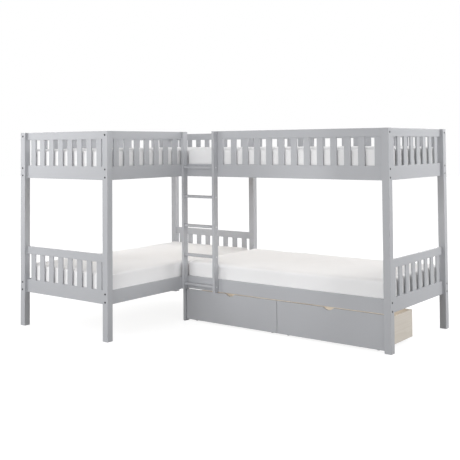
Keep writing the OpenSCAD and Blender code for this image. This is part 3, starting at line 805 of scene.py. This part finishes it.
@dataclass
class Bedding:
    """The four mattresses."""

    first_seed: int = 11
    upper_edge: float = 0.018
    left_edge: float = 0.022
    right_edge: float = 0.036
    left_presses: tuple[Press, ...] = (
        Press(Axis.X, -1.0, "outer_side_rails", reach=0.023),
        Press(Axis.X, 1.0, "inner_side_rails", reach=0.023),
        Press(Axis.Y, -1.0, "front_end_wide_rails", reach=0.030, corner=0.026),
        Press(Axis.Y, 1.0, "back_end_wide_rails", reach=0.030, corner=0.026),
    )
    right_presses: tuple[Press, ...] = (
        Press(Axis.Y, -1.0, "right_front_side_rails", reach=0.023, corner=-0.03),
        Press(Axis.Y, 1.0, "right_back_side_rails", reach=0.023),
        Press(Axis.X, 1.0, "right_end_wide_rails", reach=0.0185, corner=0.026),
        Press(Axis.X, -1.0, "inner_side_rails", reach=0.034, corner=-0.03),
    )

    def build(self) -> None:
        """Builds each mattress with the folds and edges that its place gives it."""
        edges = {
            "mattress_left_upper": self.upper_edge,
            "mattress_left_lower": self.left_edge,
            "mattress_right_upper": self.upper_edge,
            "mattress_right_lower": self.right_edge,
        }
        for seed, (node, edge) in enumerate(edges.items(), self.first_seed):
            presses = self.left_presses if "left" in node else self.right_presses
            FittedMattress(node, seed, self._folds(node), presses, edge).build()

    def _folds(self, node: str) -> tuple[Folds, ...]:
        """Gives the folds of one mattress.

        Args:
            node: The mattress's node.

        Returns:
            Its folds.
        """
        low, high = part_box(node)
        middle_x, middle_y = (low.x + high.x) / 2, (low.y + high.y) / 2
        if "left" in node:
            return (
                Folds(Axis.X, 1.0, high.y - 0.55, width=0.22, pitch=0.085, depth=0.004),
                Folds(Axis.Y, -1.0, middle_x + 0.2, width=0.2, pitch=0.09, depth=0.003),
            )
        return (
            Folds(Axis.Y, -1.0, low.x + 0.30, width=0.22, pitch=0.09, depth=0.004),
            Folds(Axis.X, 1.0, middle_y, width=0.2, pitch=0.1, depth=0.003),
        )


# ---- screws ----


class ScrewTree:
    """A geometry node tree that puts a cross-recessed screw head on each site.

    Sites are the vertices of a mesh whose "aim" attribute points out of the
    wood. Each head is turned by its own amount.
    """

    NUMBERS = (
        ("Head Radius", 0.004),
        ("Head Rise", 0.0009),
        ("Recess Radius", 0.0022),
        ("Recess Depth", 0.0007),
    )
    SEED = 5
    CORNERS = 16
    RIM = 0.82
    ARMS = 4.0
    ARM_PHASE = math.pi / 4
    VALLEY = 0.351
    MERGE = 1e-6

    def __init__(self, material: bpy.types.Material) -> None:
        """Builds the tree.

        Args:
            material: What the screws wear.
        """
        self.tree = bpy.data.node_groups.new("screw_heads", "GeometryNodeTree")
        face = self.tree.interface
        face.new_socket("Sites", in_out="INPUT", socket_type="NodeSocketGeometry")
        for name, value in self.NUMBERS:
            size = face.new_socket(name, in_out="INPUT", socket_type="NodeSocketFloat")
            size.default_value = value
        seed = face.new_socket("Seed", in_out="INPUT", socket_type="NodeSocketInt")
        seed.default_value = self.SEED
        face.new_socket("Screws", in_out="OUTPUT", socket_type="NodeSocketGeometry")
        self.bench = NodeBench(self.tree)
        self.given = self.bench.add("NodeGroupInput").outputs
        inputs = {"Geometry": self._placed(self._head()), "Material": material}
        dressed = self.bench.add("GeometryNodeSetMaterial", inputs)
        self.bench.add("NodeGroupOutput", {"Screws": dressed.outputs[0]})

    def _star(self) -> Socket:
        """Gives the place of each corner of the cross recess.

        Returns:
            The position socket.
        """
        bench = self.bench
        place = bench.add("GeometryNodeInputPosition").outputs[0]
        parts = bench.add("ShaderNodeSeparateXYZ", {0: place}).outputs
        angle = bench.math("ARCTAN2", parts[1], parts[0])
        turned = bench.math("MULTIPLY_ADD", angle, self.ARMS, -self.ARM_PHASE)
        lobes = bench.math("COSINE", turned)
        share = bench.math("GREATER_THAN", lobes, 0.0)
        share = bench.math("MULTIPLY_ADD", share, 1.0 - self.VALLEY, self.VALLEY)
        radius = bench.math("MULTIPLY", share, self.given["Recess Radius"])
        x = bench.math("MULTIPLY", bench.math("COSINE", angle), radius)
        y = bench.math("MULTIPLY", bench.math("SINE", angle), radius)
        return bench.add("ShaderNodeCombineXYZ", {0: x, 1: y, 2: parts[2]}).outputs[0]

    def _head(self) -> Socket:
        """Makes one closed screw head on the plane Z = 0.

        Returns:
            Its geometry socket.
        """
        bench, given = self.bench, self.given
        inputs = {"Vertices": self.CORNERS, "Radius": given["Head Radius"]}
        disc = bench.add("GeometryNodeMeshCircle", inputs, fill_type="NGON").outputs[0]
        raised, top = self._extruded({"Mesh": disc, "Offset Scale": given["Head Rise"]})
        inputs = {"Geometry": raised, "Selection": top, "Scale": self.RIM}
        rim = bench.add("GeometryNodeScaleElements", inputs).outputs[0]
        inner, middle = self._extruded({"Mesh": rim, "Selection": top, "Offset Scale": 0.0})
        inputs = {"Geometry": inner, "Selection": middle, "Position": self._star()}
        star = bench.add("GeometryNodeSetPosition", inputs).outputs[0]
        depth = bench.math("MULTIPLY", given["Recess Depth"], -1.0)
        recess, _ = self._extruded({"Mesh": star, "Selection": middle, "Offset Scale": depth})
        back = bench.add("GeometryNodeFlipFaces", {"Mesh": disc}).outputs[0]
        joined = bench.add("GeometryNodeJoinGeometry", {0: recess})
        self.tree.links.new(back, joined.inputs[0])
        inputs = {"Geometry": joined.outputs[0], "Distance": self.MERGE}
        return bench.add("GeometryNodeMergeByDistance", inputs).outputs[0]

    def _extruded(self, inputs: dict) -> list[Socket]:
        """Adds an Extrude Mesh node and gives its mesh and its top's selection."""
        return self.bench.add("GeometryNodeExtrudeMesh", inputs).outputs[:2]

    def _placed(self, head: Socket) -> Socket:
        """Puts a head on each site, each with its own turn.

        Args:
            head: The head's geometry.

        Returns:
            The realized heads.
        """
        bench = self.bench
        inputs = {"Name": "aim"}
        aim = bench.add("GeometryNodeInputNamedAttribute", inputs, data_type="FLOAT_VECTOR")
        inputs = {"Vector": aim.outputs[0]}
        upright = bench.add("FunctionNodeAlignRotationToVector", inputs, axis="Z")
        turn = bench.add("FunctionNodeRandomValue", data_type="FLOAT")
        spread = [socket for socket in turn.inputs if socket.type == "VALUE"]
        spread[1].default_value = 2 * math.pi
        self.tree.links.new(self.given["Seed"], turn.inputs["Seed"])
        value = next(socket for socket in turn.outputs if socket.type == "VALUE")
        euler = bench.add("ShaderNodeCombineXYZ", {2: value})
        spin = bench.add("FunctionNodeEulerToRotation", {0: euler.outputs[0]})
        inputs = {"Rotation": upright.outputs[0], "Rotate By": spin.outputs[0]}
        turned = bench.add("FunctionNodeRotateRotation", inputs, rotation_space="LOCAL").outputs[0]
        inputs = {"Points": self.given["Sites"], "Instance": head, "Rotation": turned}
        spots = bench.add("GeometryNodeInstanceOnPoints", inputs)
        return bench.add("GeometryNodeRealizeInstances", {0: spots.outputs[0]}).outputs[0]


@dataclass
class ScrewSet:
    """The screws of one kind on one body."""

    name: str
    body: str
    radius: float
    seed: int
    sunk: float = 0.0003
    sites: list[tuple[Vector, Vector]] = field(default_factory=list)

    def add(self, place: Triple, aim: Triple) -> None:
        """Adds a screw, given the middle of its head on the wood and the way it looks."""
        self.sites.append((Vector(place) - self.sunk * Vector(aim), Vector(aim)))

    def build(self, tree: ScrewTree) -> None:
        """Args:
            tree: The tree that makes the heads.
        """
        places = np.array([place for place, _ in self.sites])
        piece = piece_from(self.name, places, [], smooth=False)
        aims = piece.data.attributes.new("aim", "FLOAT_VECTOR", "POINT")
        aims.data.foreach_set("vector", np.array([aim for _, aim in self.sites]).ravel())
        maker = piece.modifiers.new("screws", "NODES")
        maker.node_group = tree.tree
        scale = self.radius / ScrewTree.NUMBERS[0][1]
        wanted = {name: value * scale for name, value in ScrewTree.NUMBERS} | {"Seed": self.seed}
        for socket in tree.tree.interface.items_tree:
            if socket.name in wanted:
                maker[socket.identifier] = wanted[socket.name]
        graph = bpy.context.evaluated_depsgraph_get()
        mesh = bpy.data.meshes.new_from_object(piece.evaluated_get(graph))
        piece.modifiers.remove(maker)
        piece.data = mesh
        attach(piece, self.body)
        log.info("%s: %d screws, %d faces", self.name, len(self.sites), len(mesh.polygons))


# ---- painted frame ----


@dataclass
class PaintedFrame:
    """The painted posts, panels, rails, guards and ladder."""

    upright: tuple[str, ...] = (
        "post_front_outer", "post_front_inner", "post_back_outer", "post_back_inner",
        "post_right_front", "post_right_back", "corner_leg",
        "front_end_slats", "back_end_slats", "right_end_slats",
        "outer_guard_slats", "inner_guard_slats", "right_back_guard_slats",
        "right_front_guard_slats", "right_front_guard_stiles", "ladder_uprights",
    )
    crosswise: tuple[str, ...] = (
        "front_end_top_rails", "front_end_wide_rails", "back_end_top_rails",
        "back_end_wide_rails", "right_front_side_rails", "right_front_guard_rail",
        "right_back_side_rails", "right_back_guard_rail", "ladder_rungs",
        "left_drawer_front", "right_drawer_front",
    )
    lengthwise: tuple[str, ...] = (
        "right_end_top_rails", "right_end_wide_rails", "outer_side_rails",
        "outer_guard_rail", "inner_side_rails", "inner_guard_rail",
    )

    def dress(self) -> None:
        """Paints every part, with the grain along it."""
        ways = {Axis.Z: self.upright, Axis.X: self.crosswise, Axis.Y: self.lengthwise}
        for axis, nodes in ways.items():
            for node in nodes:
                dress_node(node, SatinPaint(axis))


# ---- bare wood ----


@dataclass
class SlattedPlatforms:
    """The ledges and the slats that carry the mattresses."""

    slats: int = 14
    slat_width: float = 0.064
    ledge_thickness: float = 0.022
    ledge_height: float = 0.030
    screws: int = 9
    screw_margin: float = 0.045
    screw_radius: float = 0.0042

    def dress(self) -> None:
        """Dresses the ledges, and each platform with slats that differ."""
        dress_node("slat_ledges", BareWood("pine_ledge", Axis.Y, PINE_PALE, PINE_DARK))
        for arm, grain, run in (("left", Axis.X, Axis.Y), ("right", Axis.Y, Axis.X)):
            for level in ("upper", "lower"):
                node = f"bed_slats_{arm}_{level}"
                low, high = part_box(node)
                length = high[run.value] - low[run.value]
                pitch = (length - self.slat_width) / (self.slats - 1)
                boards = Boards(run, low[run.value] - (pitch - self.slat_width) / 2, pitch)
                wood = BareWood(f"pine_{arm}_{level}", grain, PINE_PALE, PINE_DARK, boards)
                dress_node(node, wood)

    def fasten(self, tree: ScrewTree) -> None:
        """Screws each ledge to its rail.

        Args:
            tree: The tree that makes the heads.
        """
        screws = ScrewSet("ledge_screws", "frame", self.screw_radius, seed=21)
        thick = self.ledge_thickness
        faces = {
            ("left", Axis.X, 1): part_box("outer_side_rails")[1].x + thick,
            ("left", Axis.X, -1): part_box("inner_side_rails")[0].x - thick,
            ("right", Axis.Y, 1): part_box("right_front_side_rails")[1].y + thick,
            ("right", Axis.Y, -1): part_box("right_back_side_rails")[0].y - thick,
        }
        for (arm, out, way), face in faces.items():
            for level in ("upper", "lower"):
                low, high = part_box(f"bed_slats_{arm}_{level}")
                run = 1 - out.value
                first, last = low[run] + self.screw_margin, high[run] - self.screw_margin
                for along in np.linspace(first, last, self.screws):
                    place = [along, along, low.z - self.ledge_height / 2]
                    place[out.value] = face
                    aim = [0.0, 0.0, 0.0]
                    aim[out.value] = way
                    screws.add(place, aim)
        screws.build(tree)


@dataclass
class RollingDrawer:
    """One drawer's box, casters and screws."""

    side: str
    board: float = 0.012
    corner_screws: int = 3
    corner_margin: float = 0.034
    corner_radius: float = 0.0035
    wheel_half: float = 0.010
    plate_drop: float = 0.002
    plate_x: float = 0.017
    plate_y: float = 0.014
    plate_radius: float = 0.0026

    def dress(self) -> None:
        """Dresses the drawer's bare boards and its casters."""
        name = f"{self.side}_drawer"
        dress_node(f"{name}_sides", BareWood("raw_side", Axis.Y, RAW_PALE, RAW_DARK))
        for part in ("cross_boards", "bottom"):
            dress_node(f"{name}_{part}", BareWood("raw_board", Axis.X, RAW_PALE, RAW_DARK))
        for part in ("caster_forks", "axles"):
            dress_node(f"{name}_{part}", ZINC)
        for part in ("front_wheels", "rear_wheels"):
            dress_node(f"{name}_{part}", MouldedNylon())

    def fasten(self, tree: ScrewTree) -> None:
        """Screws the box's corners together and the casters to its bottom.

        Args:
            tree: The tree that makes the heads.
        """
        name = f"{self.side}_drawer"
        low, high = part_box(f"{name}_sides")
        corners = ScrewSet(f"{name}_corner_screws", name, self.corner_radius, seed=31)
        bottom, top = low.z + self.corner_margin, high.z - self.corner_margin
        heights = np.linspace(bottom, top, self.corner_screws)
        for face, way in ((low.x, -1), (high.x, 1)):
            for y in (low.y + self.board / 2, high.y - self.board / 2):
                for z in heights:
                    corners.add((face, y, z), (way, 0.0, 0.0))
        corners.build(tree)
        plates = ScrewSet(f"{name}_caster_screws", name, self.plate_radius, seed=41)
        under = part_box(f"{name}_caster_forks")[1].z - self.plate_drop
        for end in ("front", "rear"):
            first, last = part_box(f"{name}_{end}_wheels")
            for x in (first.x + self.wheel_half, last.x - self.wheel_half):
                for dx in (-self.plate_x, self.plate_x):
                    for dy in (-self.plate_y, self.plate_y):
                        plates.add((x + dx, (first.y + last.y) / 2 + dy, under), (0.0, 0.0, -1.0))
        plates.build(tree)


@dataclass
class Fasteners:
    """The bolts, nuts and dowels that hold the frame."""

    def dress(self) -> None:
        """Dresses each kind of fastener."""
        # The frame bolts' near-black steel paints in the shade of their sunk holes.
        dress_node("frame_bolts", BOLT_STEEL_PAINTED_SHADE)
        dress_node("barrel_nuts", ZINC)
        dress_node("ladder_bolts", BRIGHT_ZINC)
        dress_node("dowels", BareWood("beech_dowel", Axis.X, PINE_PALE, PINE_DARK))


# ---- studio ----


@dataclass(frozen=True)
class SoftBox:
    """An area lamp aimed at a point."""

    name: str
    place: Triple
    aim: Triple
    size: float
    power: float
    depth: float | None = None

    def build(self) -> None:
        """Hangs the lamp, square unless it has a depth of its own."""
        lamp = bpy.data.lights.new(self.name, "AREA")
        lamp.shape, lamp.energy = "RECTANGLE", self.power
        lamp.size, lamp.size_y = self.size, self.depth or self.size
        made = bpy.data.objects.new(self.name, lamp)
        made.visible_camera = False
        bpy.context.scene.collection.objects.link(made)
        made.location = self.place
        away = Vector(self.place) - Vector(self.aim)
        made.rotation_euler = away.to_track_quat("Z", "Y").to_euler()


@dataclass
class Studio:
    """The pale floor, the white surround and the lamps."""

    floor_half: float = 30.0
    floor_tone: float = 0.26
    near_glow: float = 0.87
    far_glow: float = 1.0
    near_reach: float = 2.6
    far_reach: float = 6.0
    fill: float = 0.24
    lamps: tuple[SoftBox, ...] = (
        SoftBox("lamp_left_end", (-2.5, -2.7, 2.0), (-1.3, -0.9, 1.0), 1.2, 31.0),
        SoftBox("lamp_front", (0.6, -6.0, 0.9), (0.2, 0.0, 0.7), 4.0, 228.0),
        SoftBox("lamp_right", (7.0, -1.8, 2.2), (0.4, 0.2, 0.8), 5.0, 90.0),
        SoftBox("lamp_right_end", (3.2, 0.7, 2.7), (1.4, 0.4, 1.1), 1.0, 9.0),
        SoftBox("lamp_right_back", (4.6, 2.2, 2.0), (0.4, 0.5, 0.9), 1.8, 72.0),
        SoftBox("lamp_top", (0.2, -0.3, 4.6), (0.0, 0.1, 0.6), 3.0, 26.0),
        SoftBox("lamp_back", (0.6, 5.2, 2.8), (0.2, 0.2, 0.8), 2.5, 185.0),
        SoftBox("lamp_left", (-5.0, 0.6, 2.4), (-1.0, 0.2, 0.9), 2.0, 95.0),
        SoftBox("lamp_inner_side", (0.95, -0.75, 1.0), (-0.46, -0.5, 1.0), 1.0, 2.2),
        SoftBox("lamp_over_drawers", (0.50, 0.21, 0.318), (0.50, 0.21, 0.0), 1.8, 2.5, 0.40),
    )

    def _seen(self, bench: NodeBench) -> Socket:
        """Finds the rays that show the background itself.

        Args:
            bench: The bench of the tree that asks.

        Returns:
            1 for those rays and 0 for the others.
        """
        path = bench.add("ShaderNodeLightPath").outputs
        seen = bench.math("MAXIMUM", path["Is Camera Ray"], path["Is Glossy Ray"])
        return bench.math("MAXIMUM", seen, path["Is Transmission Ray"])

    def _world(self) -> None:
        """Lights the scene evenly and shows white behind it."""
        world = bpy.data.worlds.new("white_studio")
        world.use_nodes = True
        bench = NodeBench(world.node_tree)
        world.node_tree.nodes.clear()
        dim = bench.add("ShaderNodeBackground", {"Color": WHITE, "Strength": self.fill})
        white = bench.add("ShaderNodeBackground", {"Color": WHITE, "Strength": 1.0})
        choice = {0: self._seen(bench), 1: dim.outputs[0], 2: white.outputs[0]}
        mix = bench.add("ShaderNodeMixShader", choice)
        bench.add("ShaderNodeOutputWorld", {"Surface": mix.outputs[0]})
        bpy.context.scene.world = world

    def _floor(self) -> None:
        """Lays the floor, which keeps the bed's shadow and shows white elsewhere."""
        half = self.floor_half
        corners = np.array([(-half, -half, 0), (half, -half, 0), (half, half, 0), (-half, half, 0)])
        floor = piece_from("studio_floor", corners, [(0, 1, 2, 3)], smooth=False)
        material = bpy.data.materials.new("pale_floor")
        material.use_nodes = True
        bench = NodeBench(material.node_tree)
        material.node_tree.nodes.clear()
        tone = self.floor_tone
        matt = bench.add("ShaderNodeBsdfDiffuse", {"Color": (tone, tone, tone, 1.0)})
        place = bench.add("ShaderNodeTexCoord").outputs["Object"]
        reach = bench.add("ShaderNodeVectorMath", {0: place}, operation="LENGTH").outputs["Value"]
        ends = (self.near_reach, self.far_reach, self.near_glow, self.far_glow)
        shown = bench.add("ShaderNodeMapRange", dict(enumerate((reach, *ends))))
        strength = bench.math("MULTIPLY", self._seen(bench), shown.outputs[0])
        glow = bench.add("ShaderNodeEmission", {"Strength": strength})
        both = bench.add("ShaderNodeAddShader", {0: matt.outputs[0], 1: glow.outputs[0]})
        bench.add("ShaderNodeOutputMaterial", {"Surface": both.outputs[0]})
        floor.data.materials.append(material)

    def build(self) -> None:
        """Builds the room round the bed."""
        self._world()
        self._floor()
        for lamp in self.lamps:
            lamp.build()
        bpy.context.scene.view_settings.view_transform = "Standard"
        log.info("studio: %d lamps", len(self.lamps))


@dataclass(frozen=True)
class PhotoCamera:
    """The camera at the photograph's place, from a fit to the bed's edges."""

    place: Triple = (4.1735, -5.4577, 1.5362)
    yaw: float = -0.65492
    pitch: float = 0.035917
    roll: float = 0.0077948
    focal_px: float = 802.41
    image_px: float = 460.0
    sensor: float = 36.0
    shift: tuple[float, float] = (0.0050, -0.2470)
    reach: float = 100.0

    def build(self) -> None:
        """Sets the camera up."""
        lens = bpy.data.cameras.new("photo_camera")
        lens.sensor_width, lens.lens = self.sensor, self.focal_px / self.image_px * self.sensor
        lens.shift_x, lens.shift_y = self.shift
        lens.clip_end = self.reach
        made = bpy.data.objects.new("photo_camera", lens)
        bpy.context.scene.collection.objects.link(made)
        flat = math.cos(self.pitch)
        ahead = Vector(
            (flat * math.sin(self.yaw), flat * math.cos(self.yaw), math.sin(self.pitch))
        )
        level = Vector((math.cos(self.yaw), -math.sin(self.yaw), 0.0))
        rise = level.cross(ahead)
        right = level * math.cos(self.roll) - rise * math.sin(self.roll)
        up = level * math.sin(self.roll) + rise * math.cos(self.roll)
        turned = Matrix((right, up, -ahead)).transposed().to_4x4()
        made.matrix_world = Matrix.Translation(self.place) @ turned
        bpy.context.scene.camera = made
        log.info("camera at %s", self.place)


# ---- assembly ----


def main() -> None:
    """Builds the room, dresses the frame and adds the new pieces."""
    logging.basicConfig(level=logging.INFO, format="%(name)s: %(message)s")
    PhotoCamera().build()
    Studio().build()
    PaintedFrame().dress()
    screws = ScrewTree(material_of(ZINC))
    platforms = SlattedPlatforms()
    platforms.dress()
    platforms.fasten(screws)
    for side in ("left", "right"):
        drawer = RollingDrawer(side)
        drawer.dress()
        drawer.fasten(screws)
    Fasteners().dress()
    Bedding().build()


if __name__ == "__main__":
    main()
